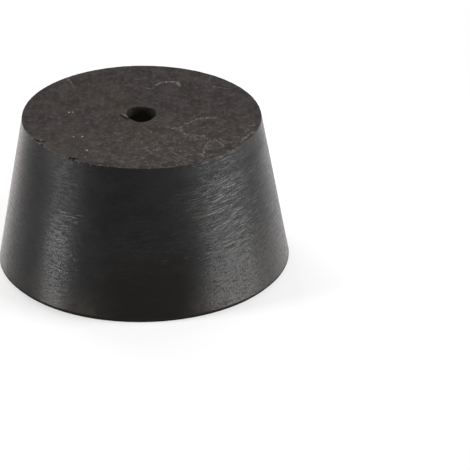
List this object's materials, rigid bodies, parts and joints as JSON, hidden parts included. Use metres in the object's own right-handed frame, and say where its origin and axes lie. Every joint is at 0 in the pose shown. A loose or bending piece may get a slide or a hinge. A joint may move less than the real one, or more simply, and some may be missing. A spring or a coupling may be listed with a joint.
{
  "type": "rubber stopper",
  "caption": "Tapered round rubber plug with flat ends and a central through bore; it closes a flask or bottle neck around a glass tube or thermometer.",
  "frame": {"origin": "centre of the wide face, which the plug stands on", "axes": "+Z along the bore from the wide face to the narrow face; +Y towards the size number sunk into the wide face"},
  "size_m": [0.05, 0.05, 0.027],
  "materials": {
    "black_rubber": "satin ground side, matt ends"
  },
  "bodies": {
    "root": {"stopper": "black_rubber"}
  },
  "joints": []
}
